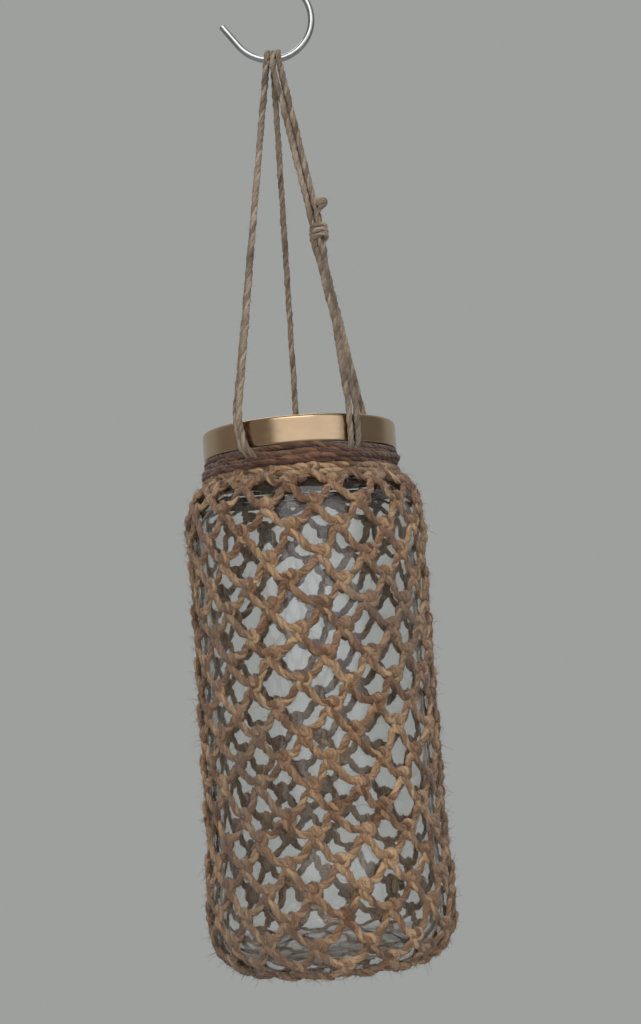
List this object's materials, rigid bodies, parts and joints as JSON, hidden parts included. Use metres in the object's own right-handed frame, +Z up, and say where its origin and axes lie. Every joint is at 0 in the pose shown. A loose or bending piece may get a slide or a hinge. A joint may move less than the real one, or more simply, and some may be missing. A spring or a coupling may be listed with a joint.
{
  "type": "mason jar lantern",
  "caption": "Tall glass jar with a gold twist-off lid, dressed in a knotted jute net and hung by jute cords from a steel S-hook.",
  "frame": {"origin": "inside top of the S-hook's upper loop, where the lantern hangs from its nail, rod or branch", "axes": "+Z up along the hanging jar's axis; the hook's wire bends in the XZ plane; -Y is the front, the side with two pairs of hanging strands"},
  "size_m": [0.0924, 0.0924, 0.4158],
  "materials": {
    "polished_steel": "polished",
    "clear_glass": "gloss",
    "sealing_compound": "satin",
    "gold_lacquer": "gloss",
    "jute_winding": "matte",
    "jute_net": "matte",
    "jute_cord": "matte"
  },
  "bodies": {
    "hook": {"s_hook": "polished_steel"},
    "bights": {"bight_1": "jute_cord", "bight_2": "jute_cord", "bight_3": "jute_cord"},
    "lantern": {"glass_jar": "clear_glass", "neck_wrap": "jute_winding", "heading_cord": "jute_winding", "jute_net": "jute_net", "net_base": "jute_net", "base_drawstring": "jute_net", "base_knot": "jute_net", "hanger_left_outer": "jute_cord", "hanger_left_inner": "jute_cord", "hanger_back": "jute_cord", "hanger_right_upper_1": "jute_cord", "hanger_right_upper_2": "jute_cord", "hanger_right_upper_3": "jute_cord", "hanger_right_lower_1": "jute_cord", "hanger_right_lower_2": "jute_cord", "hanger_right_lower_3": "jute_cord", "hanger_knot": "jute_cord", "knot_tail_1": "jute_cord", "knot_tail_2": "jute_cord"},
    "liner": {"lid_liner": "sealing_compound"},
    "lid": {"lid_shell": "gold_lacquer"}
  },
  "joints": [
    {"name": "side_swing", "type": "hinge", "parent": "hook", "child": "bights", "pos_m": [0, 0, -0.0518], "axis": [0, 1, 0], "range_deg": [-20, 20]},
    {"name": "front_back_swing", "type": "hinge", "parent": "bights", "child": "lantern", "pos_m": [0, 0, -0.0679], "axis": [1, 0, 0], "range_deg": [-22, 22]},
    {"name": "lid_lift", "type": "slide", "parent": "lantern", "child": "liner", "axis": [0, 0, 1], "range_m": [0, 0.00189]},
    {"name": "lid_twist", "type": "hinge", "parent": "liner", "child": "lid", "pos_m": [0, 0, -0.2141], "axis": [0, 0, 1], "range_deg": [0, 47]}
  ],
  "couplings": [
    {"joint": "lid_twist", "follows": "lid_lift", "rad_per_m": 434.2}
  ]
}
